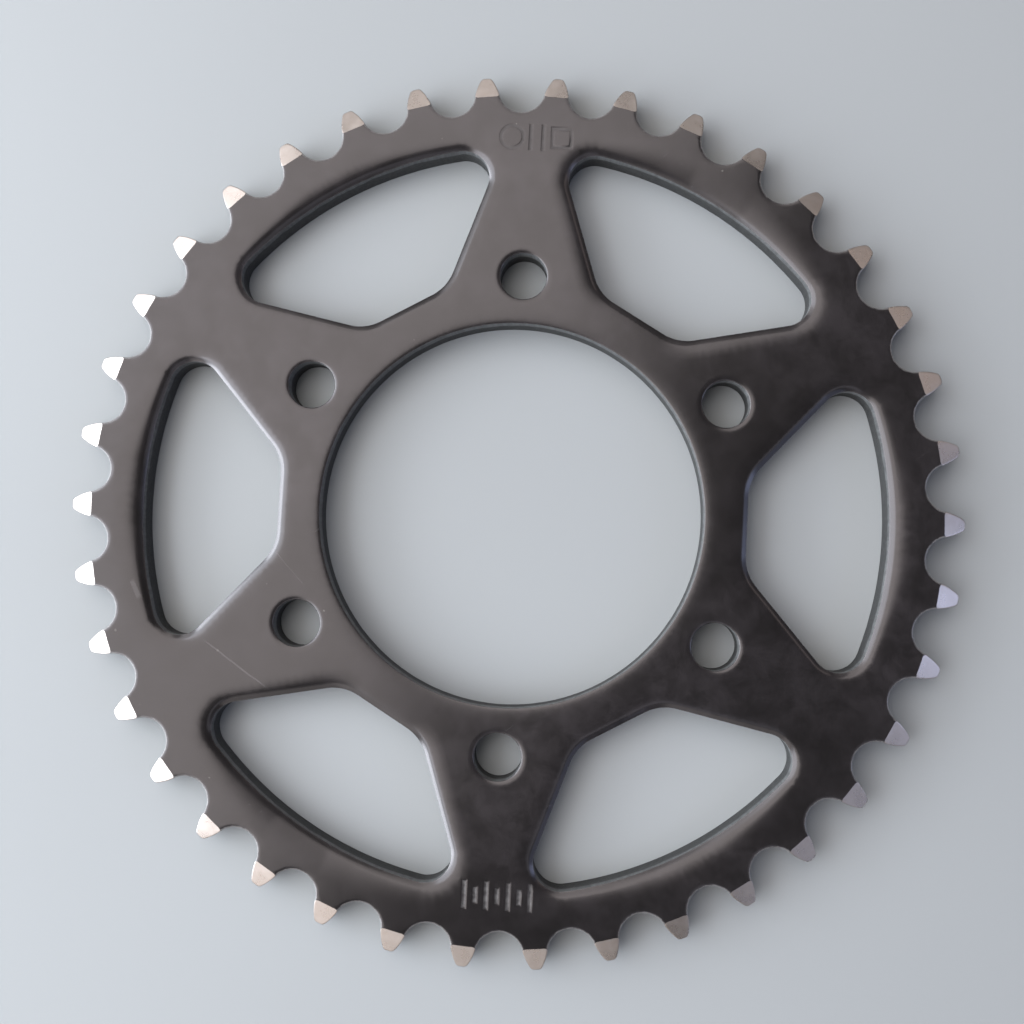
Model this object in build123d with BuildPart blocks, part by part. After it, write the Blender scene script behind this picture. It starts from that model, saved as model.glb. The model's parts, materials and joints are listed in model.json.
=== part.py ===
"""Rear sprocket of a motorcycle: one flat steel plate, blanked, punched and bevelled.

The plate lies flat. The origin is the centre of the pilot bore on the back face, which seats
against the hub. +Z is the spin axis and points out of the stamped front face. +Y runs through
the bolt hole of the spoke with the three-figure stamp. Sizes are in millimetres.
"""

from build123d import *
from math import asin, degrees, pi, radians, sin, sqrt
import os

# Chain and teeth: 5/8 inch pitch, 10.16 mm rollers
PITCH = 15.875
ROLLER_DIAMETER = 10.16
TEETH = 38
TIP_RADIUS = 99.7
TIP_CORNER = 1.0  # rounding of a tooth's two corners
SEAT_RADIUS = 5.28
SEAT_ANGLE = 150.0  # arc of the roller seat
FLANK_RADIUS = 14.0
TOOTH_AT_ANGLE = 30.0  # a tooth is centred on the bolt hole at this angle

# Plate
THICKNESS = 7.2
BORE_DIAMETER = 85.6
BORE_DRAW_WIDTH = 3.4  # the front face is drawn in a little around the bore
BORE_DRAW_DEPTH = 0.3
BORE_BACK_EDGE = 0.4
BEVEL_START_RADIUS = 94.65  # the turned tooth bevels start here on both faces
BEVEL_DEPTH = 1.7  # how far each bevel falls by the tooth tips

# Bolt holes
BOLT_HOLES = 6
BOLT_CIRCLE_DIAMETER = 107.0
BOLT_HOLE_DIAMETER = 10.5
BOLT_HOLE_CHAMFER = 0.45
BOLT_HOLE_AT_ANGLE = 90.0

# Windows, one between each two bolt holes
WINDOW_OUTER_RADIUS = 83.3
WINDOW_INNER_FLAT = 52.2  # distance of the straight inner edge from the spin axis
SPOKE_FLARE = 18.5  # angle of a spoke's edge to the spoke's centre line
SPOKE_EDGE_TO_HOLE = 15.3  # a spoke's edge keeps this distance from the bolt hole's centre
WINDOW_OUTER_CORNER = 6.0
WINDOW_INNER_CORNER = 10.0

# The punch drew the front face down around each window. The draw is widest on the outer edge.
DRAW_DEPTH = 1.3
DRAW_WIDTH_OUTER = 6.5
DRAW_WIDTH_SIDE = 4.6
DRAW_WIDTH_INNER = 4.4
DRAW_POWER = 2.5
DRAW_STEPS = (0.0, 0.12, 0.3, 0.55, 0.8)  # shares of the width, from the wall outwards
DRAW_RUN_OUT = 1.05  # the drawn surface's last section is this share out and just above the face

# Stamped marks, on the rim ends of two opposite spokes
MARK_DEPTH = 0.2
FIGURE_STROKE = 0.9
FIGURE_HEIGHT = 6.0
FIGURE_SPACING = 5.6
FIGURES_RADIUS = 85.2
FIGURES_ASIDE = 1.4
BAR_WIDTH = 1.2
LONG_BAR = 6.2
SHORT_BAR = 3.6
LONG_BARS = 4  # with a short bar between each two
BAR_SPACING = 2.4
BARS_RADIUS = 83.4
BARS_ASIDE = 1.5

PITCH_ANGLE = 360 / TEETH
PITCH_RADIUS = PITCH / sin(pi / TEETH) / 2
ROOT_RADIUS = PITCH_RADIUS - ROLLER_DIAMETER / 2
BORE_RADIUS = BORE_DIAMETER / 2
BOLT_ANGLE = 360 / BOLT_HOLES
HALF_SPOKE = BOLT_ANGLE / 2
TOLERANCE = 0.01
CLEARANCE = 0.02  # cutting tools stand this far proud of the faces they cut


def tooth_gap():
    """One gap between teeth, centred on +X: a roller seat, two convex flanks, open outwards."""
    half_seat = SEAT_ANGLE / 2
    seat_centre = Vector(ROOT_RADIUS + SEAT_RADIUS, 0)
    seat_end = seat_centre + Vector(SEAT_RADIUS, 0).rotate(Axis.Z, 180 - half_seat)
    leaving = 90 - half_seat  # angle of the flank to the gap's centre line, at the seat
    climb = TIP_RADIUS - seat_end.X
    flank_turn = degrees(asin(sin(radians(leaving)) + climb / FLANK_RADIUS)) - leaving
    with BuildSketch() as gap:
        with BuildLine():
            CenterArc(seat_centre, SEAT_RADIUS, 180 - half_seat, SEAT_ANGLE)
            flank = JernArc(seat_end, Vector(1, 0).rotate(Axis.Z, leaving), FLANK_RADIUS, flank_turn)
            mirror(flank, about=Plane.XZ)
            Line(flank @ 1, Vector((flank @ 1).X, -(flank @ 1).Y))
        make_face()
    return gap.sketch


def window_outline(share):
    """The window centred on +X, grown by this share of the drawn edge's widths."""
    grow_outer = DRAW_WIDTH_OUTER * share
    grow_side = DRAW_WIDTH_SIDE * share
    grow_inner = DRAW_WIDTH_INNER * share
    outer = WINDOW_OUTER_RADIUS + grow_outer
    flat = WINDOW_INNER_FLAT - grow_inner
    hole = Vector(BOLT_CIRCLE_DIAMETER / 2, 0).rotate(Axis.Z, HALF_SPOKE)
    edge_angle = HALF_SPOKE + SPOKE_FLARE
    along = Vector(1, 0).rotate(Axis.Z, edge_angle)
    from_hole = Vector(1, 0).rotate(Axis.Z, edge_angle - 90)
    on_edge = hole + from_hole * (SPOKE_EDGE_TO_HOLE - grow_side)
    inner_corner = on_edge + along * ((flat - on_edge.X) / along.X)
    reach = on_edge.dot(along)
    outer_corner = on_edge + along * (sqrt(reach**2 - on_edge.length**2 + outer**2) - reach)
    with BuildSketch() as outline:
        with BuildLine():
            Line((flat, -inner_corner.Y), inner_corner)
            Line(inner_corner, outer_corner)
            ThreePointArc(outer_corner, (outer, 0), (outer_corner.X, -outer_corner.Y))
            Line((outer_corner.X, -outer_corner.Y), (flat, -inner_corner.Y))
        make_face()
        outer_pair = outline.vertices().sort_by(Axis.X)[-2:]
        fillet(outer_pair, WINDOW_OUTER_CORNER + grow_side)
        inner_pair = outline.vertices().sort_by(Axis.X)[:2]
        fillet(inner_pair, WINDOW_INNER_CORNER + grow_side)
    return outline.sketch


def window_tool():
    """The punch for one window: its wall, and the drawn-in front edge as one smooth loft."""
    falls = [DRAW_DEPTH * (1 - share) ** DRAW_POWER for share in DRAW_STEPS]
    with BuildPart() as tool:
        with BuildSketch(Plane.XY.offset(-CLEARANCE)):
            add(window_outline(0))
        extrude(amount=THICKNESS - DRAW_DEPTH + CLEARANCE)
        sections = [*zip(DRAW_STEPS, falls), (DRAW_RUN_OUT, -CLEARANCE)]
        for share, fall in sections:
            with BuildSketch(Plane.XY.offset(THICKNESS - fall)):
                add(window_outline(share))
        loft()
    return tool.part


def ring_section():
    """Half section of the plate through its bore and tooth bevels, drawn in the XZ plane."""
    draw_end = BORE_RADIUS + BORE_DRAW_WIDTH
    draw_foot = THICKNESS - BORE_DRAW_DEPTH
    with BuildSketch(Plane.XZ) as section:
        with BuildLine():
            Polyline(
                (BORE_RADIUS, draw_foot),
                (BORE_RADIUS, 0),
                (BEVEL_START_RADIUS, 0),
                (TIP_RADIUS, BEVEL_DEPTH),
                (TIP_RADIUS, THICKNESS - BEVEL_DEPTH),
                (BEVEL_START_RADIUS, THICKNESS),
                (draw_end, THICKNESS),
            )
            draw_centre = (draw_end, draw_foot)
            EllipticalCenterArc(draw_centre, BORE_DRAW_WIDTH, BORE_DRAW_DEPTH, 90, arc_size=90)
        make_face()
        back_edge = section.vertices().sort_by(lambda v: Vector(v).length)[0]
        fillet(back_edge, BORE_BACK_EDGE)
    return section.sketch


def three_figures():
    """A ring, a pair of bars and a square, in a row centred on the origin."""
    with BuildSketch() as mark:
        with Locations((-FIGURE_SPACING, 0)):
            Circle(FIGURE_HEIGHT / 2)
            Circle(FIGURE_HEIGHT / 2 - FIGURE_STROKE, mode=Mode.SUBTRACT)
        with GridLocations(FIGURE_SPACING / 2, 0, 2, 1):
            Rectangle(FIGURE_STROKE, FIGURE_HEIGHT)
        side = FIGURE_HEIGHT - FIGURE_STROKE
        with Locations((FIGURE_SPACING, 0)):
            Rectangle(side, side)
            Rectangle(side - 2 * FIGURE_STROKE, side - 2 * FIGURE_STROKE, mode=Mode.SUBTRACT)
    return mark.sketch


def row_of_bars():
    """Long upright bars with short ones between them, centred on the origin."""
    with BuildSketch() as mark:
        with GridLocations(2 * BAR_SPACING, 0, LONG_BARS, 1):
            Rectangle(BAR_WIDTH, LONG_BAR)
        with GridLocations(2 * BAR_SPACING, 0, LONG_BARS - 1, 1):
            Rectangle(BAR_WIDTH, SHORT_BAR)
    return mark.sketch


with BuildPart() as sprocket_plate:
    with BuildSketch() as blank:
        Circle(TIP_RADIUS)
        with PolarLocations(0, TEETH, start_angle=TOOTH_AT_ANGLE + PITCH_ANGLE / 2):
            add(tooth_gap(), mode=Mode.SUBTRACT)
        corners = blank.vertices().filter_by(lambda v: Vector(v).length > TIP_RADIUS - TOLERANCE)
        fillet(corners, TIP_CORNER)
    extrude(amount=THICKNESS)

    # The bore with its drawn front edge, and the two turned tooth bevels
    add(revolve(ring_section(), Axis.Z, mode=Mode.PRIVATE), mode=Mode.INTERSECT)

    with PolarLocations(BOLT_CIRCLE_DIAMETER / 2, BOLT_HOLES, start_angle=BOLT_HOLE_AT_ANGLE):
        Hole(BOLT_HOLE_DIAMETER / 2)
    chamfer(sprocket_plate.edges(Select.LAST).filter_by(GeomType.CIRCLE), BOLT_HOLE_CHAMFER)

    with PolarLocations(0, BOLT_HOLES, start_angle=BOLT_HOLE_AT_ANGLE + HALF_SPOKE):
        add(window_tool(), mode=Mode.SUBTRACT)

    with BuildSketch(Plane.XY.offset(THICKNESS)):
        with Locations((FIGURES_ASIDE, FIGURES_RADIUS)):
            add(three_figures())
        with Locations((BARS_ASIDE, -BARS_RADIUS)):
            add(row_of_bars())
    extrude(amount=-MARK_DEPTH, mode=Mode.SUBTRACT)
sprocket_plate.part.label = "sprocket_plate"

os.makedirs("parts", exist_ok=True)
export_step(sprocket_plate.part, "parts/sprocket_plate.step")
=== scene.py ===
"""Looks for the rear sprocket: one detailed mesh of the steel plate, its finishes, a floor and light.

The plate's front and back share one flat triangulation. Rings of points follow every edge of the
plate, so the drawn-in edges left by the punches, the turned tooth bevels and the stamps are real
shapes. The frame is the CAD model's: origin at the bore's centre on the back face, +Z out of the
front face, +Y through the bolt hole of the spoke with the three-figure stamp. The plate is worked
out in millimetres and its mesh is written in metres.
"""

import json
from math import acos, atan2, ceil, cos, hypot, pi, radians, sin, sqrt

import bpy
import numpy as np
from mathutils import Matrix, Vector
from mathutils.geometry import delaunay_2d_cdt
from mathutils.kdtree import KDTree


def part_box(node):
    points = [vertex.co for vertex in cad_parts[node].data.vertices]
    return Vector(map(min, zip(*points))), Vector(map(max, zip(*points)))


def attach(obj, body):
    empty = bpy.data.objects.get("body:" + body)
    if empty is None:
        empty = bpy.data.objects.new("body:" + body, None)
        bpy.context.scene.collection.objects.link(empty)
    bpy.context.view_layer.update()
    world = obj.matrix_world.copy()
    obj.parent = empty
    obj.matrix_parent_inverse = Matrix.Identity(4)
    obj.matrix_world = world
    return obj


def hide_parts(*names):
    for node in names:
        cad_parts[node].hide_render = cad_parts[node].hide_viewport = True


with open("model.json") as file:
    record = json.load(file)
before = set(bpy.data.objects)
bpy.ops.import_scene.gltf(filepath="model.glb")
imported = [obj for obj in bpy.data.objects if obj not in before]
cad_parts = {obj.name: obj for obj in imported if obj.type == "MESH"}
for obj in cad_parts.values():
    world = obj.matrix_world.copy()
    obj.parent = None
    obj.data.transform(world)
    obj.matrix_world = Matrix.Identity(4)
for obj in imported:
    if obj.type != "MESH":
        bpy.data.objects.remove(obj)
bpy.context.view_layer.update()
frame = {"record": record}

MM = 0.001
NODE = "sprocket_plate"
MOUNTS = {m["name"]: m["dims"] for m in frame["record"]["mounts"]}

# The plate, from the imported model
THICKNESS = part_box(NODE)[1].z / MM
BORE_RADIUS = MOUNTS["pilot_bore"]["r_mm"]
BOLT_CIRCLE_RADIUS = MOUNTS["bolt_circle"]["pcd_mm"] / 2
BOLT_HOLES = MOUNTS["bolt_circle"]["count"]
BOLT_HOLE_RADIUS = MOUNTS["bolt_circle"]["hole_r_mm"]

# Teeth, as in the CAD model
TEETH = 38
PITCH = 15.875
ROLLER_RADIUS = 5.08
TIP_RADIUS = 99.7
TIP_CORNER = 1.0
SEAT_RADIUS = 5.28
HALF_SEAT = radians(75)
FLANK_RADIUS = 14.0
TOOTH_AT = radians(30)
BEVEL_START_RADIUS = 94.65
BEVEL_DEPTH = 1.7

# Windows, as in the CAD model, one between each two bolt holes
WINDOW_OUTER_RADIUS = 83.3
WINDOW_INNER_FLAT = 52.2
SPOKE_FLARE = radians(18.5)
SPOKE_EDGE_TO_HOLE = 15.3
WINDOW_OUTER_CORNER = 6.0
WINDOW_INNER_CORNER = 10.0

# Stamps, laid out as in the CAD model but shallower, so that they catch the light less
MARK_DEPTH = 0.13
MARK_EDGE = 0.45
FIGURE_STROKE = 0.9
FIGURE_HEIGHT = 6.0
FIGURE_SPACING = 5.6
FIGURES_AT = (1.4, 85.2)
BAR_WIDTH = 1.2
LONG_BAR = 6.2
SHORT_BAR = 3.6
BAR_SPACING = 2.4
BARS = 7
BARS_AT = (1.5, -83.4)
STAMP_STEP = 0.4

# How far down each punch drew the front face, and over what width. Windows also have a steeper lip.
WINDOW_DRAW_DEPTH = {"outer": 1.2, "side": 0.55, "inner": 0.45}
WINDOW_DRAW_WIDTH = {"outer": 6.5, "side": 4.6, "inner": 4.4}
WINDOW_LIP_DEPTH, WINDOW_LIP_WIDTH = 0.45, 1.6
BORE_DRAW_DEPTH, BORE_DRAW_WIDTH = 0.3, 3.4
HOLE_DRAW_DEPTH, HOLE_DRAW_WIDTH = 0.35, 1.4
GAP_DRAW_DEPTH, GAP_DRAW_WIDTH = 0.22, 0.9
BEVEL_EDGE_BREAK = 0.08
BACK_EDGE_BREAK = 0.12

CORNERS = ((-1, -1), (1, -1), (1, 1), (-1, 1))
PITCH_ANGLE = 2 * pi / TEETH
ROOT_RADIUS = PITCH / sin(pi / TEETH) / 2 - ROLLER_RADIUS
BOLT_ANGLE = 2 * pi / BOLT_HOLES
BEVEL_SLOPE = BEVEL_DEPTH / (TIP_RADIUS - BEVEL_START_RADIUS)


# Outlines. An outline is two arrays: its points, and the unit normals that point into the steel.


def arc(centre, radius, start, end, step, steel_outside):
    count = max(2, ceil(abs(end - start) * radius / step))
    angles = np.linspace(start, end, count + 1)
    radial = np.stack([np.cos(angles), np.sin(angles)], 1)
    return np.array(centre) + radius * radial, radial if steel_outside else -radial


def line(start, end, step, normal):
    count = max(1, ceil(hypot(end[0] - start[0], end[1] - start[1]) / step))
    shares = np.linspace(0, 1, count + 1)[:, None]
    return np.array(start) * (1 - shares) + np.array(end) * shares, np.tile(normal, (count + 1, 1))


def chain(*runs):
    """Runs joined end to end, each without the first point that it shares with the last one."""
    points = [runs[0][0]] + [run[0][1:] for run in runs[1:]]
    normals = [runs[0][1]] + [run[1][1:] for run in runs[1:]]
    return np.concatenate(points), np.concatenate(normals)


def both_sides(half):
    """A half outline and its mirror image in the X axis, in one run that leaves out its last point."""
    flip = np.array([1, -1])
    points = np.concatenate([(half[0] * flip)[::-1][:-1], half[0][:-1]])
    normals = np.concatenate([(half[1] * flip)[::-1][:-1], half[1][:-1]])
    return points, normals


def turned(points, angle):
    return points @ np.array([[cos(angle), sin(angle)], [-sin(angle), cos(angle)]])


def half_gap(step):
    """From the middle of a gap's seat, centred on +X, to the middle of the next tooth's tip."""
    seat_centre = ROOT_RADIUS + SEAT_RADIUS
    seat_end = (seat_centre - SEAT_RADIUS * cos(HALF_SEAT), SEAT_RADIUS * sin(HALF_SEAT))
    flank_centre = (
        seat_end[0] - FLANK_RADIUS * cos(HALF_SEAT),
        seat_end[1] + FLANK_RADIUS * sin(HALF_SEAT),
    )
    # The corner's circle touches the flank's circle and the tip circle from inside
    reach = hypot(*flank_centre)
    to_tip = TIP_RADIUS - TIP_CORNER
    to_flank = FLANK_RADIUS - TIP_CORNER
    bend = acos((reach**2 + to_tip**2 - to_flank**2) / (2 * reach * to_tip))
    corner_at = atan2(flank_centre[1], flank_centre[0]) - bend
    corner = (to_tip * cos(corner_at), to_tip * sin(corner_at))
    flank_end = atan2(corner[1] - flank_centre[1], corner[0] - flank_centre[0])
    return chain(
        arc((seat_centre, 0), SEAT_RADIUS, pi, pi - HALF_SEAT, step, True),
        arc(flank_centre, FLANK_RADIUS, -HALF_SEAT, flank_end, step, False),
        arc(corner, TIP_CORNER, flank_end, corner_at, step / 2, False),
        arc((0, 0), TIP_RADIUS, corner_at, PITCH_ANGLE / 2, step, False),
    )


def half_window(step):
    """From the middle of a window's outer arc, centred on +X, to the middle of its inner flat."""
    half_spoke = BOLT_ANGLE / 2
    slant = half_spoke + SPOKE_FLARE
    along = np.array([cos(slant), sin(slant)])
    into_spoke = np.array([-sin(slant), cos(slant)])
    hole = BOLT_CIRCLE_RADIUS * np.array([cos(half_spoke), sin(half_spoke)])
    side = hole @ into_spoke - SPOKE_EDGE_TO_HOLE

    def corner_on_side(radius, reach_along):
        return into_spoke * (side - radius) + along * reach_along

    inset = side - WINDOW_OUTER_CORNER
    outer_reach = WINDOW_OUTER_RADIUS - WINDOW_OUTER_CORNER
    outer = corner_on_side(WINDOW_OUTER_CORNER, sqrt(outer_reach**2 - inset**2))
    inset = side - WINDOW_INNER_CORNER
    inner_x = WINDOW_INNER_FLAT + WINDOW_INNER_CORNER
    inner = corner_on_side(WINDOW_INNER_CORNER, (inner_x - into_spoke[0] * inset) / along[0])
    outer_at = atan2(outer[1], outer[0])
    facing_spoke = slant + pi / 2
    return chain(
        arc((0, 0), WINDOW_OUTER_RADIUS, 0, outer_at, step, True),
        arc(outer, WINDOW_OUTER_CORNER, outer_at, facing_spoke, step, True),
        line(
            outer + into_spoke * WINDOW_OUTER_CORNER,
            inner + into_spoke * WINDOW_INNER_CORNER,
            step,
            into_spoke,
        ),
        arc(inner, WINDOW_INNER_CORNER, facing_spoke, pi, step, True),
        line((WINDOW_INNER_FLAT, inner[1]), (WINDOW_INNER_FLAT, 0), step, (-1, 0)),
    )


class Edge:
    """Distance from an edge that repeats round the plate, for any points in the steel."""

    SAMPLE = 0.04

    def __init__(self, half, start_angle, angle):
        self.points, self.normals = half(self.SAMPLE)
        self.start_angle, self.angle = start_angle, angle
        self.tree = KDTree(len(self.points))
        for i, (x, y) in enumerate(self.points):
            self.tree.insert((x, y, 0), i)
        self.tree.balance()

    def nearest(self, points):
        """How deep each point lies in the steel, and the angle of the nearest normal to the sector."""
        radius = np.hypot(points[:, 0], points[:, 1])
        turn = np.arctan2(points[:, 1], points[:, 0]) - self.start_angle
        folded = np.abs((turn + self.angle / 2) % self.angle - self.angle / 2)
        local = np.stack([radius * np.cos(folded), radius * np.sin(folded)], 1)
        index = np.array([self.tree.find((x, y, 0))[1] for x, y in local])
        normals = self.normals[index]
        depth = ((local - self.points[index]) * normals).sum(1)
        return depth, np.arctan2(normals[:, 1], normals[:, 0])


GAPS = Edge(half_gap, TOOTH_AT + PITCH_ANGLE / 2, PITCH_ANGLE)
WINDOWS = Edge(half_window, 0.0, BOLT_ANGLE)
# The angle at which a window's outer arc ends and its corner begins
ON_OUTER_ARC = np.hypot(*WINDOWS.points.T) > WINDOW_OUTER_RADIUS - 1e-6
ARC_END_X, ARC_END_Y = WINDOWS.normals[ON_OUTER_ARC][-1]
OUTER_ARC_END = atan2(ARC_END_Y, ARC_END_X)


def by_side(values, normal_angle):
    """A window's value at each point, from its outer arc's middle past its side to its inner edge."""
    facing_spoke = BOLT_ANGLE / 2 + SPOKE_FLARE + pi / 2
    knots = (0.0, OUTER_ARC_END / 4, OUTER_ARC_END, facing_spoke, pi)
    sides = ("outer", "outer", "side", "side", "inner")
    return np.interp(normal_angle, knots, [values[side] for side in sides])


def punched_depth(points, gap):
    """How deep each point lies in the steel from the nearest edge of any kind."""
    radius = np.hypot(points[:, 0], points[:, 1])
    return np.min([WINDOWS.nearest(points)[0], gap, radius - BORE_RADIUS, hole_depth(points)], 0)


def hole_depth(points):
    """How deep each point lies in the steel around the nearest bolt hole."""
    radius = np.hypot(points[:, 0], points[:, 1])
    turn = np.arctan2(points[:, 1], points[:, 0]) - pi / 2
    folded = (turn + BOLT_ANGLE / 2) % BOLT_ANGLE - BOLT_ANGLE / 2
    along = radius * np.cos(folded) - BOLT_CIRCLE_RADIUS
    return np.hypot(along, radius * np.sin(folded)) - BOLT_HOLE_RADIUS


def draw(depth_in_steel, width):
    """Share of the full draw: a quarter of an ellipse, upright at the edge and level at its width."""
    away = 1 - np.clip(depth_in_steel / width, 0, 1)
    return 1 - np.sqrt(1 - away**2)


# Stamps: bars, a ring and a frame, all in strokes of one depth

FIGURES = [
    ("ring", (FIGURES_AT[0] - FIGURE_SPACING, FIGURES_AT[1]), FIGURE_HEIGHT / 2 - FIGURE_STROKE / 2),
    ("frame", (FIGURES_AT[0] + FIGURE_SPACING, FIGURES_AT[1]), FIGURE_HEIGHT / 2 - FIGURE_STROKE),
]
BARS_AND_SIZES = [
    ((FIGURES_AT[0] + side * FIGURE_SPACING / 4, FIGURES_AT[1]), FIGURE_STROKE, FIGURE_HEIGHT)
    for side in (-1, 1)
] + [
    (
        (BARS_AT[0] + (i - (BARS - 1) / 2) * BAR_SPACING, BARS_AT[1]),
        BAR_WIDTH,
        SHORT_BAR if i % 2 else LONG_BAR,
    )
    for i in range(BARS)
]


def stroke_distance(points):
    """Distance outside the nearest stamped stroke, negative inside it."""
    distances = []
    for centre, width, height in BARS_AND_SIZES:
        off = np.abs(points - centre)
        distances.append(np.maximum(off[:, 0] - width / 2, off[:, 1] - height / 2))
    for kind, centre, reach in FIGURES:
        off = np.abs(points - centre)
        out = np.hypot(off[:, 0], off[:, 1]) if kind == "ring" else off.max(1)
        distances.append(np.abs(out - reach) - FIGURE_STROKE / 2)
    return np.min(distances, 0)


def stamped(points):
    """Share of the stamps' full depth."""
    return np.clip(-stroke_distance(points) / MARK_EDGE, 0, 1)


def stamp_loops():
    """Closed loops of points just outside every stroke, along its rim and along its floor."""
    loops = []
    for inset in (-MARK_EDGE / 2, 0.0, MARK_EDGE):
        for centre, width, height in BARS_AND_SIZES:
            loops.append(box_loop(centre, width / 2 - inset, height / 2 - inset))
        for kind, centre, reach in FIGURES:
            for side in (-1, 1):
                size = reach + side * (FIGURE_STROKE / 2 - inset)
                if kind == "ring":
                    loops.append(circle(centre, size, STAMP_STEP)[0])
                else:
                    loops.append(box_loop(centre, size, size))
    return loops


def box_loop(centre, half_width, half_height):
    return np.array([(centre[0] + x * half_width, centre[1] + y * half_height) for x, y in CORNERS])


def circle(centre, radius, step):
    points, normals = arc(centre, radius, 0, 2 * pi, step, True)
    return points[:-1], normals[:-1]


# Heights of the two faces above the back plane


def front_height(points):
    radius = np.hypot(points[:, 0], points[:, 1])
    gap, _ = GAPS.nearest(points)
    drawn = window_drawn(points)
    drawn = drawn + BORE_DRAW_DEPTH * draw(radius - BORE_RADIUS, BORE_DRAW_WIDTH)
    drawn = drawn + HOLE_DRAW_DEPTH * draw(hole_depth(points), HOLE_DRAW_WIDTH)
    pressed = THICKNESS - drawn - gap_drawn(gap) - MARK_DEPTH * stamped(points)
    turned_off = THICKNESS - bevel_fall(points, gap)
    return np.minimum(pressed, turned_off)


def window_drawn(points):
    """How far the windows' punch drew the front: a wide dip, and a steeper lip right at the edge."""
    window, facing = WINDOWS.nearest(points)
    away = 1 - np.clip(window / by_side(WINDOW_DRAW_WIDTH, facing), 0, 1)
    dip = by_side(WINDOW_DRAW_DEPTH, facing) * away**2
    out = np.clip(window / WINDOW_LIP_WIDTH, 0, 1)
    return dip + WINDOW_LIP_DEPTH * (1 - 1.5 * out + 0.5 * out**3)


def gap_drawn(gap):
    return GAP_DRAW_DEPTH * draw(gap, GAP_DRAW_WIDTH)


def bevel_fall(points, gap):
    """How far the turned bevel lies below its face. It runs on inwards below zero."""
    radius = np.hypot(points[:, 0], points[:, 1])
    edge_break = BEVEL_EDGE_BREAK * (1 - np.clip(gap / BEVEL_EDGE_BREAK, 0, 1))
    return (radius - BEVEL_START_RADIUS) * BEVEL_SLOPE + edge_break


def wear_guides(points):
    """Depths from the nearest edge and tooth gap, and how far the bevel cuts below the face."""
    gap, _ = GAPS.nearest(points)
    return punched_depth(points, gap), gap, bevel_fall(points, gap) - gap_drawn(gap)


def back_height(points):
    gap, _ = GAPS.nearest(points)
    broken = BACK_EDGE_BREAK * (1 - np.clip(punched_depth(points, gap) / BACK_EDGE_BREAK, 0, 1))
    return np.maximum(broken, bevel_fall(points, gap))


# The plate's mesh

# Rings of points follow each edge, at these shares of the width over which it is drawn in
WINDOW_RINGS = (0.0, 0.025, 0.055, 0.09, 0.13, 0.17, 0.22, 0.32, 0.48, 0.7, 1.0)
PUNCH_RINGS = (0.0, 0.03, 0.09, 0.2, 0.38, 0.65, 1.0)
GAP_RINGS = (0.0, 0.07, 0.2, 0.45, 1.0)
OUTLINE_STEP = 0.7
BEVEL_ROWS = 4
# Walls are split at these shares of the way down
WALL_LEVELS = (0.2, 0.4, 0.6, 0.8)
# How near points have to be to merge, and to count as lying on the bevel's start
SAME_POINT = 1e-4
ON_BEVEL_START = 0.005
SHARP_ANGLE = radians(38)


def rings():
    """Closed loops of points round every hole and along the teeth, at growing depths in the steel."""
    loops = []
    points, normals = both_sides(half_window(OUTLINE_STEP))
    width = by_side(WINDOW_DRAW_WIDTH, np.abs(np.arctan2(normals[:, 1], normals[:, 0])))[:, None]
    for i in range(BOLT_HOLES):
        for share in WINDOW_RINGS:
            loops.append(turned(points + normals * width * share, i * BOLT_ANGLE))
    points, normals = circle((0, 0), BORE_RADIUS, OUTLINE_STEP)
    loops += [points + normals * BORE_DRAW_WIDTH * share for share in PUNCH_RINGS]
    points, normals = circle((BOLT_CIRCLE_RADIUS, 0), BOLT_HOLE_RADIUS, OUTLINE_STEP)
    for i in range(BOLT_HOLES):
        for share in PUNCH_RINGS:
            ring = points + normals * HOLE_DRAW_WIDTH * share
            loops.append(turned(ring, pi / 2 + i * BOLT_ANGLE))
    points, normals = both_sides(half_gap(OUTLINE_STEP))
    for share in GAP_RINGS:
        ring = points + normals * GAP_DRAW_WIDTH * share
        turns = [TOOTH_AT + (i + 0.5) * PITCH_ANGLE for i in range(TEETH)]
        loops.append(np.concatenate([turned(ring, turn) for turn in turns]))
    return loops


def bevel_rows():
    """Open rows of points across each tooth: one along the bevel's start, the others on the bevel."""
    rows = []
    for i in range(TEETH):
        for row in range(BEVEL_ROWS):
            radius = BEVEL_START_RADIUS + (TIP_RADIUS - BEVEL_START_RADIUS) * row / BEVEL_ROWS
            middle = TOOTH_AT + i * PITCH_ANGLE
            reach = PITCH_ANGLE / 3
            rows.append(arc((0, 0), radius, middle - reach, middle + reach, OUTLINE_STEP, True)[0])
    return rows


def triangulate():
    """Points and triangles of the plate's plan, seen from the front."""
    points, edges = [], []
    loops = [(loop, True) for loop in rings() + stamp_loops()]
    for loop, closed in loops + [(row, False) for row in bevel_rows()]:
        start = len(points)
        points += [Vector(p) for p in loop]
        edges += [(i, i + 1) for i in range(start, len(points) - 1)]
        if closed:
            edges.append((len(points) - 1, start))
    made = delaunay_2d_cdt(points, edges, [], 0, SAME_POINT)
    plan = np.array([tuple(p) for p in made[0]])
    triangles = np.array(made[2])
    middle = plan[triangles].mean(1)
    inside = (
        (GAPS.nearest(middle)[0] > 0)
        & (WINDOWS.nearest(middle)[0] > 0)
        & (np.hypot(middle[:, 0], middle[:, 1]) > BORE_RADIUS)
        & (hole_depth(middle) > 0)
    )
    triangles = triangles[inside]
    # All triangles run the same way round, and only the points that they use are kept
    a, b, c = plan[triangles[:, 0]], plan[triangles[:, 1]], plan[triangles[:, 2]]
    backwards = np.cross(b - a, c - a) < 0
    triangles[backwards] = triangles[backwards][:, ::-1]
    used, triangles = np.unique(triangles, return_inverse=True)
    return plan[used], triangles.reshape(-1, 3)


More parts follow.
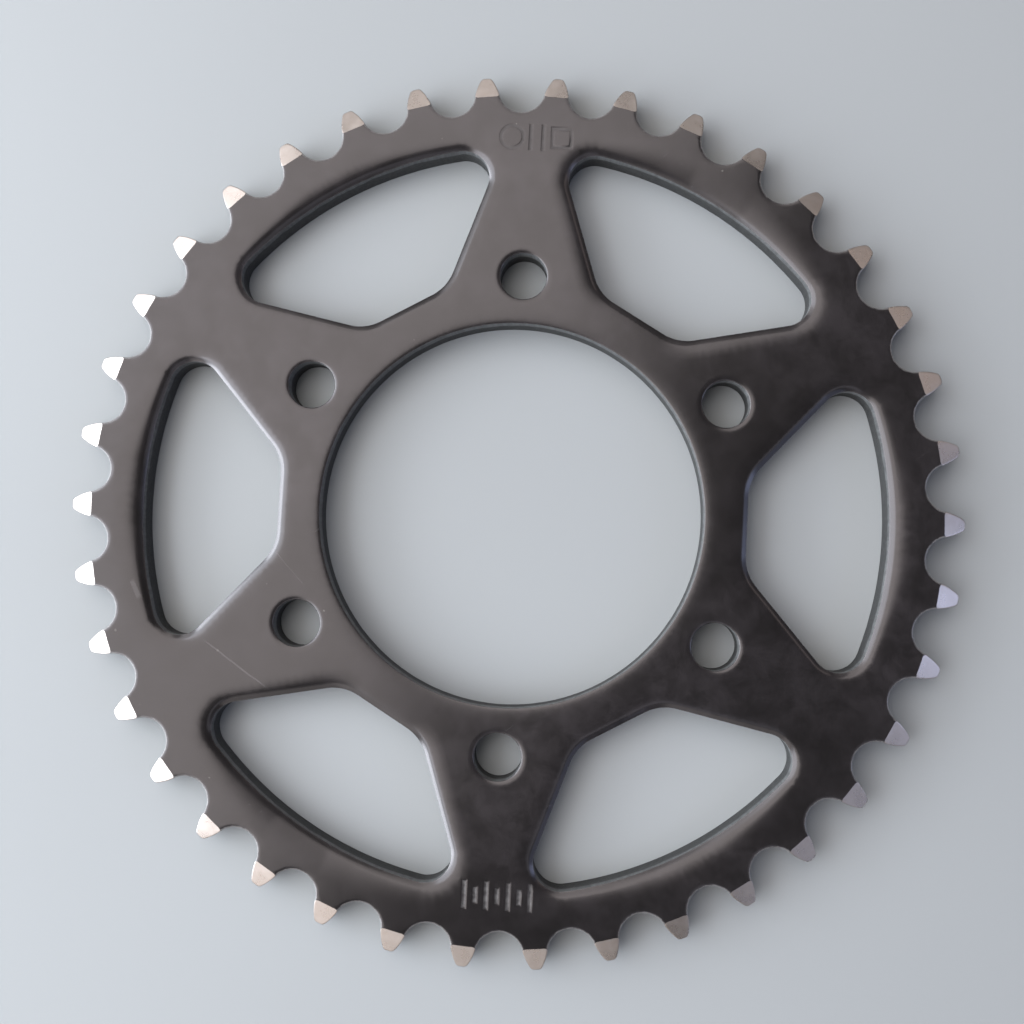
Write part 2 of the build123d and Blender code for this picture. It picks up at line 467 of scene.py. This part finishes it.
def build_plate():
    plan, triangles = triangulate()
    count = len(plan)
    front = np.column_stack([plan, front_height(plan)])
    back = np.column_stack([plan, back_height(plan)])

    # The rim is made of the triangle sides that only one triangle uses
    sides = np.concatenate([triangles[:, [0, 1]], triangles[:, [1, 2]], triangles[:, [2, 0]]])
    _, first, uses = np.unique(np.sort(sides, 1), axis=0, return_index=True, return_counts=True)
    rim = sides[first[uses == 1]]
    rim_points = np.unique(rim)
    place_in_rim = np.full(count, -1)
    place_in_rim[rim_points] = np.arange(len(rim_points))

    # Walls run from the front's rim, through one row of points at each level, to the back's rim
    levels = [front[rim_points] * (1 - share) + back[rim_points] * share for share in WALL_LEVELS]
    vertices = np.concatenate([front, back] + levels)
    rows = [rim_points]
    for i in range(len(WALL_LEVELS)):
        rows.append(2 * count + i * len(rim_points) + np.arange(len(rim_points)))
    rows.append(count + rim_points)

    faces = triangles.tolist() + (triangles[:, ::-1] + count).tolist()
    starts, ends = place_in_rim[rim[:, 0]], place_in_rim[rim[:, 1]]
    for upper, lower in zip(rows, rows[1:]):
        faces += np.stack([upper[ends], upper[starts], lower[starts], lower[ends]], 1).tolist()

    mesh = bpy.data.meshes.new("sprocket")
    mesh.from_pydata((vertices * MM).tolist(), [], faces)
    mesh.polygons.foreach_set("use_smooth", np.ones(len(faces), bool))
    on_wall = np.arange(len(faces)) >= 2 * len(triangles)
    mesh.polygons.foreach_set("material_index", on_wall.astype(int))
    mesh.materials.append(coat_finish())
    mesh.materials.append(cut_finish())
    edge, gap, bevel = wear_guides(plan)
    off_plan = len(WALL_LEVELS) * len(rim_points)
    for name, on_front, on_back, on_walls in (
        ("edge", edge, edge, 0.0),
        ("tooth_edge", gap, gap, 0.0),
        ("bevel", bevel, bevel, -1.0),
        ("stamp", stamped(plan), np.zeros(count), 0.0),
    ):
        float_attribute(mesh, name, np.concatenate([on_front, on_back, np.full(off_plan, on_walls)]))
    mesh.set_sharp_from_angle(angle=SHARP_ANGLE)
    mark_bevel_start_sharp(mesh)
    plate = bpy.data.objects.new("sprocket", mesh)
    bpy.context.scene.collection.objects.link(plate)
    shading = plate.modifiers.new("face_normals", "WEIGHTED_NORMAL")
    shading.keep_sharp = True
    return plate


def mark_bevel_start_sharp(mesh):
    """The turned bevel meets each face in a crisp line, too shallow for the angle test to find."""
    points = np.zeros(len(mesh.vertices) * 3)
    mesh.vertices.foreach_get("co", points)
    points = points.reshape(-1, 3) / MM
    on_start = np.abs(np.hypot(points[:, 0], points[:, 1]) - BEVEL_START_RADIUS) < ON_BEVEL_START
    for edge in mesh.edges:
        a, b = edge.vertices
        on_one_face = abs(points[a, 2] - points[b, 2]) < GAP_DRAW_DEPTH
        if on_start[a] and on_start[b] and on_one_face:
            edge.use_edge_sharp = True


def float_attribute(mesh, name, values):
    """A value for each vertex that the finish reads."""
    attribute = mesh.attributes.new(name, "FLOAT", "POINT")
    attribute.data.foreach_set("value", np.asarray(values, dtype=np.float32))


# Finishes: lengths are millimetres on the plate, and noise scales are features per millimetre.


def grey(value, warm=0.0):
    return (value * (1 + warm), value, value * (1 - warm), 1.0)


COAT_CLEAN, COAT_DUSTY = (0.0026, 0.0022, 0.0023, 1.0), (0.0135, 0.0113, 0.0121, 1.0)
COAT_SHEEN = (1.0, 0.90, 0.89, 1.0)
COAT_ROUGHNESS = (0.19, 0.23)
COAT_IOR = 1.5
SPECK_COLOUR = (0.27, 0.25, 0.22, 1.0)
SCRATCH_COLOUR, SCRATCH_STRENGTH = (0.11, 0.10, 0.10, 1.0), 0.2
WORN_COLOUR, WORN_STRENGTH, WORN_METAL = (0.34, 0.32, 0.31, 1.0), 0.8, 0.75
STEEL_STAINED, STEEL_CLEAN = (0.275, 0.23, 0.205, 1.0), (0.325, 0.276, 0.25, 1.0)
STEEL_METAL = 0.85
STEEL_ROUGHNESS = (0.26, 0.36)
# Wall colours: the sheared band above is lighter partly because it is smoother steel and partly as a
# painted highlight from the lamps on the lit side. Both bands are dark partly because the steel is dark
# and partly as painted shade, with the break below darkest.
SHEARED_HIGHLIGHT_DARK, SHEARED_HIGHLIGHT_LIGHT = grey(0.05, 0.01), grey(0.088)
TORN_SHADE_DARK, TORN_SHADE_LIGHT = grey(0.02, 0.02), grey(0.036, 0.02)
TORN_ROUGHNESS, SHEARED_ROUGHNESS = 0.65, 0.45
WALL_SPECULAR = 0.2
SHEARED_FROM = 4.3
PUNCHED_WEAR, TEETH_WEAR = 0.06, 0.35
FLOOR_SHADES = grey(0.195), grey(0.205)

# Faint single scratches and scuffs on the faces: start, end and width
SCRATCHES = (
    ((-68.0, -31.0), (-51.0, -42.2), 0.24),
    ((-84.5, -19.0), (-82.0, -23.5), 0.7),
    ((-72.0, -20.0), (-70.5, -25.0), 0.5),
    ((30.0, -58.0), (44.0, -49.0), 0.2),
)
# Two sets of hair scratches: the way they run and a shift of their noise
HAIR_SCRATCHES = ((2.35, 0.0), (0.7, 60.0))


class Nodes:
    """A material's node tree, built up by short calls."""

    def __init__(self, name):
        self.material = bpy.data.materials.new(name)
        self.material.use_nodes = True
        self.tree = self.material.node_tree
        self.tree.nodes.clear()
        self.output = self.tree.nodes.new("ShaderNodeOutputMaterial")
        self.place = self.vector("SCALE", self.node("ShaderNodeTexCoord").outputs["Object"], 1 / MM)

    def node(self, kind, settings=(), **inputs):
        made = self.tree.nodes.new(kind)
        for name, value in dict(settings).items():
            setattr(made, name, value)
        for name, value in inputs.items():
            self.feed(made.inputs[name.replace("_", " ")], value)
        return made

    def feed(self, socket, value):
        if isinstance(value, bpy.types.NodeSocket):
            self.tree.links.new(value, socket)
        else:
            socket.default_value = value

    def finish(self, shader):
        self.feed(self.output.inputs["Surface"], shader.outputs[0])
        return self.material

    def math(self, operation, *values):
        made = self.node("ShaderNodeMath", {"operation": operation})
        for socket, value in zip(made.inputs, values):
            self.feed(socket, value)
        return made.outputs[0]

    def add(self, first, second):
        return self.math("ADD", first, second)

    def times(self, first, second):
        return self.math("MULTIPLY", first, second)

    def larger(self, first, second):
        return self.math("MAXIMUM", first, second)

    def vector(self, operation, first, second=(0, 0, 0)):
        """A vector sum, product or scaling, or the one number of a dot product or a length."""
        made = self.node("ShaderNodeVectorMath", {"operation": operation})
        self.feed(made.inputs[0], first)
        self.feed(made.inputs["Scale" if operation == "SCALE" else 1], second)
        return made.outputs["Value" if operation in ("DOT_PRODUCT", "LENGTH") else "Vector"]

    def noise(self, scale, detail=4.0, roughness=0.55, place=None, distortion=0.0):
        made = self.node(
            "ShaderNodeTexNoise",
            {"noise_dimensions": "3D"},
            Vector=place or self.place,
            Scale=scale,
            Detail=detail,
            Roughness=roughness,
            Distortion=distortion,
        )
        return made.outputs["Fac"]

    def waver(self, reach, *noise):
        """Noise that wavers about zero, mostly within half of its reach."""
        return self.times(self.math("SUBTRACT", self.noise(*noise), 0.5), reach)

    def ramp(self, value, low, high, to_low=0.0, to_high=1.0, smooth=True):
        made = self.node(
            "ShaderNodeMapRange",
            {"interpolation_type": "SMOOTHSTEP" if smooth else "LINEAR"},
            Value=value,
            From_Min=low,
            From_Max=high,
            To_Min=to_low,
            To_Max=to_high,
        )
        return made.outputs["Result"]

    def mix(self, share, first, second):
        made = self.node("ShaderNodeMix", {"data_type": "RGBA"}, Factor=share, A=first, B=second)
        return made.outputs["Result"]

    def attribute(self, name):
        return self.node("ShaderNodeAttribute", {"attribute_name": name}).outputs["Fac"]

    def turned_place(self, angle, stretch):
        """The place turned about Z, then squeezed along its new X so that features stretch that way."""
        made = self.node("ShaderNodeMapping", {"vector_type": "TEXTURE"}, Vector=self.place)
        self.feed(made.inputs["Rotation"], (0, 0, angle))
        self.feed(made.inputs["Scale"], (stretch, 1, 1))
        return made.outputs["Vector"]

    def bump(self, height, distance, strength, below=None):
        made = self.node("ShaderNodeBump", Strength=strength, Distance=distance * MM, Height=height)
        if below is not None:
            self.feed(made.inputs["Normal"], below)
        return made.outputs["Normal"]

    def scratch(self, start, end, width):
        """A slightly wavering line on the plate's faces that fades out towards both ends."""
        length = hypot(end[0] - start[0], end[1] - start[1])
        along = ((end[0] - start[0]) / length, (end[1] - start[1]) / length)
        from_start = self.vector("SUBTRACT", self.place, (*start, 0.0))
        run = self.vector("DOT_PRODUCT", from_start, (*along, 0.0))
        across = self.vector("DOT_PRODUCT", from_start, (-along[1], along[0], 0.0))
        off = self.math("ABSOLUTE", self.add(across, self.waver(1.2, 0.12, 2.0)))
        from_middle = self.math("ABSOLUTE", self.math("SUBTRACT", run, length / 2))
        inside = self.ramp(from_middle, length * 0.3, length * 0.5, 1.0, 0.0)
        return self.times(self.ramp(off, width * 0.4, width, 1.0, 0.0), inside)


def coat_finish():
    """Satin blackened coat, worn thin at the teeth's edges, with the turned bevels in bare steel."""
    n = Nodes("blackened_plate")
    coat = coat_shader(n)
    steel = steel_shader(n)
    ragged = n.waver(0.05, 1.2, 3.0)
    on_bevel = n.ramp(n.add(n.attribute("bevel"), ragged), 0.0, 0.04)
    both = n.node("ShaderNodeMixShader", Fac=on_bevel)
    n.feed(both.inputs[1], coat.outputs[0])
    n.feed(both.inputs[2], steel.outputs[0])
    return n.finish(both)


def coat_shader(n):
    """Blackened coat under a thin film of dust and stain, which breaks up into patches and blotches."""
    patches = n.noise(0.016, 2.0, 0.5, distortion=0.4)
    blotches = n.noise(0.16, 5.0, 0.65, distortion=0.3)
    grain = n.noise(2.6, 3.0, 0.6)
    film = n.times(n.ramp(patches, 0.35, 0.65, 0.35, 1.0), n.ramp(blotches, 0.3, 0.72, 0.25, 1.0))
    film = n.times(film, n.ramp(grain, 0.25, 0.75, 0.8, 1.1))
    colour = n.mix(n.ramp(film, 0.0, 1.0, smooth=False), COAT_CLEAN, COAT_DUSTY)
    colour = n.mix(speck_cover(n), colour, SPECK_COLOUR)
    colour = n.mix(n.times(scratch_cover(n), SCRATCH_STRENGTH), colour, SCRATCH_COLOUR)
    wear = wear_cover(n)
    colour = n.mix(n.times(wear, WORN_STRENGTH), colour, WORN_COLOUR)

    mottle = n.noise(0.07, 5.0, 0.6)
    roughness = n.ramp(mottle, 0.3, 0.75, *COAT_ROUGHNESS)
    for cover, added in ((film, 0.03), (wear, 0.22), (n.attribute("stamp"), 0.18)):
        roughness = n.add(roughness, n.times(cover, added))
    fine = n.bump(grain, 0.006, 0.5)
    wavy = n.bump(n.noise(0.11, 2.0, 0.5), 0.05, 0.35, below=fine)
    coat = n.node(
        "ShaderNodeBsdfPrincipled",
        Base_Color=colour,
        Roughness=roughness,
        Metallic=n.times(wear, WORN_METAL),
        Normal=wavy,
    )
    coat.inputs["IOR"].default_value = COAT_IOR
    coat.inputs["Specular Tint"].default_value = COAT_SHEEN
    return coat


def speck_cover(n):
    """A few small flecks of dust, each with its own size and strength."""
    specks = n.node("ShaderNodeTexVoronoi", {"feature": "F1"}, Vector=n.place, Scale=0.3)
    chance, size, strength = n.node("ShaderNodeSeparateColor", Color=specks.outputs["Color"]).outputs
    size = n.ramp(size, 0.0, 1.0, 0.03, 0.11, smooth=False)
    speck = n.ramp(n.math("DIVIDE", specks.outputs["Distance"], size), 0.7, 1.0, 1.0, 0.0)
    speck = n.times(speck, n.ramp(chance, 0.86, 0.88))
    return n.times(speck, n.ramp(strength, 0.0, 1.0, 0.1, 0.6))


def scratch_cover(n):
    """Single scratches on the front, and hair scratches over both faces."""
    single = 0.0
    for start, end, width in SCRATCHES:
        single = n.larger(single, n.scratch(start, end, width))
    hair = 0.0
    for angle, shift in HAIR_SCRATCHES:
        stretched = n.vector("ADD", n.turned_place(angle, 60.0), (shift, shift, 0.0))
        lines = n.ramp(n.noise(1.1, 2.0, 0.5, place=stretched), 0.735, 0.76)
        moved = n.vector("ADD", n.place, (shift, 0.0, shift))
        broken = n.ramp(n.noise(0.04, 2.0, 0.5, place=moved), 0.52, 0.62)
        hair = n.larger(hair, n.times(n.times(lines, broken), 0.5))
    return n.larger(n.times(single, front_only(n)), hair)


def front_only(n):
    """One on the front half of the plate and zero on the back half."""
    height = n.node("ShaderNodeSeparateXYZ", Vector=n.place).outputs["Z"]
    return n.ramp(height, THICKNESS * 0.4, THICKNESS * 0.6)


def wear_cover(n):
    """Where the coat is worn: a little at punched edges, more at the teeth's edges and in the stamps."""
    uneven = n.waver(0.5, 0.9, 4.0, 0.65)
    punched = n.ramp(n.add(n.attribute("edge"), uneven), 0.02, 0.24, 1.0, 0.0)
    teeth = n.ramp(n.add(n.attribute("tooth_edge"), uneven), 0.12, 0.42, 1.0, 0.0)
    at_edges = n.larger(n.times(punched, PUNCHED_WEAR), n.times(teeth, TEETH_WEAR))
    struck = n.times(n.attribute("stamp"), n.ramp(n.noise(0.8, 3.0), 0.35, 0.65, 0.04, 0.2))
    # The stamps' colour is made brighter towards the bottom of the plate, so the lower stamp is brighter
    # than the upper one
    along = n.node("ShaderNodeSeparateXYZ", Vector=n.place).outputs["Y"]
    struck = n.times(struck, n.ramp(along, -1.0, 1.0, 1.0, 0.3))
    return n.larger(at_edges, struck)


def steel_shader(n):
    """Bare steel with fine grooves round the plate, as a lathe leaves it."""
    radius = n.vector("LENGTH", n.vector("MULTIPLY", n.place, (1, 1, 0)))
    groove_place = n.node("ShaderNodeCombineXYZ", X=radius).outputs[0]
    grooves = n.noise(4.0, 4.0, 0.7, place=groove_place)
    stain = n.noise(0.25, 4.0, 0.6)
    steel = n.node(
        "ShaderNodeBsdfPrincipled",
        Base_Color=n.mix(n.ramp(stain, 0.3, 0.75), STEEL_STAINED, STEEL_CLEAN),
        Roughness=n.ramp(stain, 0.3, 0.75, *STEEL_ROUGHNESS),
        Normal=n.bump(grooves, 0.012, 0.5),
    )
    steel.inputs["Metallic"].default_value = STEEL_METAL
    return steel


def cut_finish():
    """Punched walls: a smooth sheared band above, with drag lines, and a rough break below. The band's
    lighter colour is partly a painted highlight, and the walls' dark colours, darkest in the break, are
    partly painted shade.
    """
    n = Nodes("punched_walls")
    height = n.node("ShaderNodeSeparateXYZ", Vector=n.place).outputs["Z"]
    drag = n.noise(1.6, 3.0, 0.6, place=n.vector("MULTIPLY", n.place, (1, 1, 0.05)))
    torn = n.noise(1.3, 5.0, 0.7)
    break_line = n.add(SHEARED_FROM, n.waver(1.6, 0.3, 3.0))
    sheared = n.ramp(n.math("SUBTRACT", height, break_line), -0.25, 0.25)
    # Partly painted light: the sheared band is coloured lighter as a painted highlight, and the break
    # below is coloured darker as painted shade.
    bright = n.mix(n.ramp(drag, 0.3, 0.7), SHEARED_HIGHLIGHT_DARK, SHEARED_HIGHLIGHT_LIGHT)
    dull = n.mix(n.ramp(torn, 0.3, 0.7), TORN_SHADE_DARK, TORN_SHADE_LIGHT)
    drag_normal = n.bump(drag, 0.05, n.times(sheared, 0.5))
    wall = n.node(
        "ShaderNodeBsdfPrincipled",
        Base_Color=n.mix(sheared, dull, bright),
        Roughness=n.ramp(sheared, 0.0, 1.0, TORN_ROUGHNESS, SHEARED_ROUGHNESS),
        Normal=n.bump(torn, 0.14, n.ramp(sheared, 0.0, 1.0, 0.7, 0.1), below=drag_normal),
    )
    wall.inputs["Specular IOR Level"].default_value = WALL_SPECULAR
    return n.finish(wall)


# Floor, light and camera, in metres and degrees

FLOOR_REACH = 1.5
FLOOR_HEIGHT = -0.0001
WINDOW_AZIMUTH = 151
ROOM_LIGHT = 0.2
CAMERA_PLACE = (0.01108, -0.01142, 0.24493)
CAMERA_TURN = (2.987, 2.440, 3.112)
CAMERA_LENS_MM, CAMERA_SENSOR_MM = 37.79, 36.0


def floor():
    n = Nodes("pale_paper")
    paper = n.node(
        "ShaderNodeBsdfPrincipled",
        Base_Color=n.mix(n.ramp(n.noise(0.004, 2.0), 0.3, 0.7), *FLOOR_SHADES),
        Roughness=0.8,
        Normal=n.bump(n.noise(2.0), 0.02, 0.2),
    )
    mesh = bpy.data.meshes.new("floor")
    corners = [(x * FLOOR_REACH, y * FLOOR_REACH, FLOOR_HEIGHT) for x, y in CORNERS]
    mesh.from_pydata(corners, [], [(0, 1, 2, 3)])
    mesh.materials.append(n.finish(paper))
    made = bpy.data.objects.new("floor", mesh)
    bpy.context.scene.collection.objects.link(made)
    return made


def softbox(name, azimuth, elevation, size, radiance, colour=(1, 1, 1), aside=0.0):
    """A soft light a metre off that faces the plate, moved aside along its own width."""
    data = bpy.data.lights.new(name, "AREA")
    data.shape = "RECTANGLE"
    data.size, data.size_y = size
    data.energy = radiance * pi * size[0] * size[1]
    data.color = colour
    azimuth, elevation = radians(azimuth), radians(elevation)
    across = Vector((-sin(azimuth), cos(azimuth), 0))
    flat = cos(elevation)
    away = Vector((cos(azimuth) * flat, sin(azimuth) * flat, sin(elevation)))
    light = bpy.data.objects.new(name, data)
    light.location = away + across * aside
    light.rotation_euler = away.to_track_quat("Z", "Y").to_euler()
    bpy.context.scene.collection.objects.link(light)


def window_light(name, foot, top, width, radiance, aside, colour=(1, 1, 1)):
    """Part of the big soft window on the left, between two heights in degrees above the floor."""
    reach = radians(top - foot) / 2
    size = (width, 2 * sin(reach) / cos(reach))
    softbox(name, WINDOW_AZIMUTH, (top + foot) / 2, size, radiance, colour, aside)


def studio():
    """A big window on the left, brighter towards its sill, and dim softboxes on the other sides."""
    window_light("window_top", 45, 85.7, 2.0, 1.4, 0.05)
    window_light("window_top_edge", 45, 89.0, 2.0, 1.3, 0.05)
    window_light("window_top_centre", 45, 84.9, 1.3, 0.9, 0.17)
    window_light("window_middle", 15, 45, 1.85, 3.4, 0.5, (0.9, 0.95, 1.0))
    softbox("window_low", 184, 35, (1.3, 0.77), 5.0, (0.77, 0.88, 1.0))
    softbox("window_sill", 187, 14, (1.25, 0.4), 13.0, (0.8, 0.9, 1.0))
    softbox("window_left_wing", 118, 30, (0.75, 0.6), 0.6)
    softbox("window_right_wing", 233, 30, (0.65, 0.6), 1.15)
    softbox("right_softbox", 340, 26, (1.4, 0.45), 0.9, (0.5, 0.64, 1.0))
    softbox("right_strip", 353, 26, (0.3, 0.45), 2.8, (0.5, 0.64, 1.0))
    softbox("right_high", 34, 33, (0.5, 0.22), 1.2, (1.0, 0.9, 0.86))
    softbox("right_middle", 310, 52, (1.2, 0.24), 0.9, (0.8, 0.86, 1.0))
    softbox("back_softbox", 88, 28, (0.8, 0.4), 0.55)
    softbox("front_softbox", 255, 26, (0.9, 0.4), 1.2)
    world = bpy.data.worlds.new("studio")
    world.use_nodes = True
    background = world.node_tree.nodes["Background"]
    background.inputs["Color"].default_value = (1, 1, 1, 1)
    background.inputs["Strength"].default_value = ROOM_LIGHT
    bpy.context.scene.world = world
    bpy.context.scene.view_settings.view_transform = "Standard"


def camera():
    data = bpy.data.cameras.new("camera")
    data.lens, data.sensor_width = CAMERA_LENS_MM, CAMERA_SENSOR_MM
    made = bpy.data.objects.new("camera", data)
    made.location = CAMERA_PLACE
    made.rotation_euler = [radians(turn) for turn in CAMERA_TURN]
    bpy.context.scene.collection.objects.link(made)
    bpy.context.scene.camera = made


sprocket = build_plate()
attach(sprocket, "root")
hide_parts(NODE)
floor()
studio()
camera()
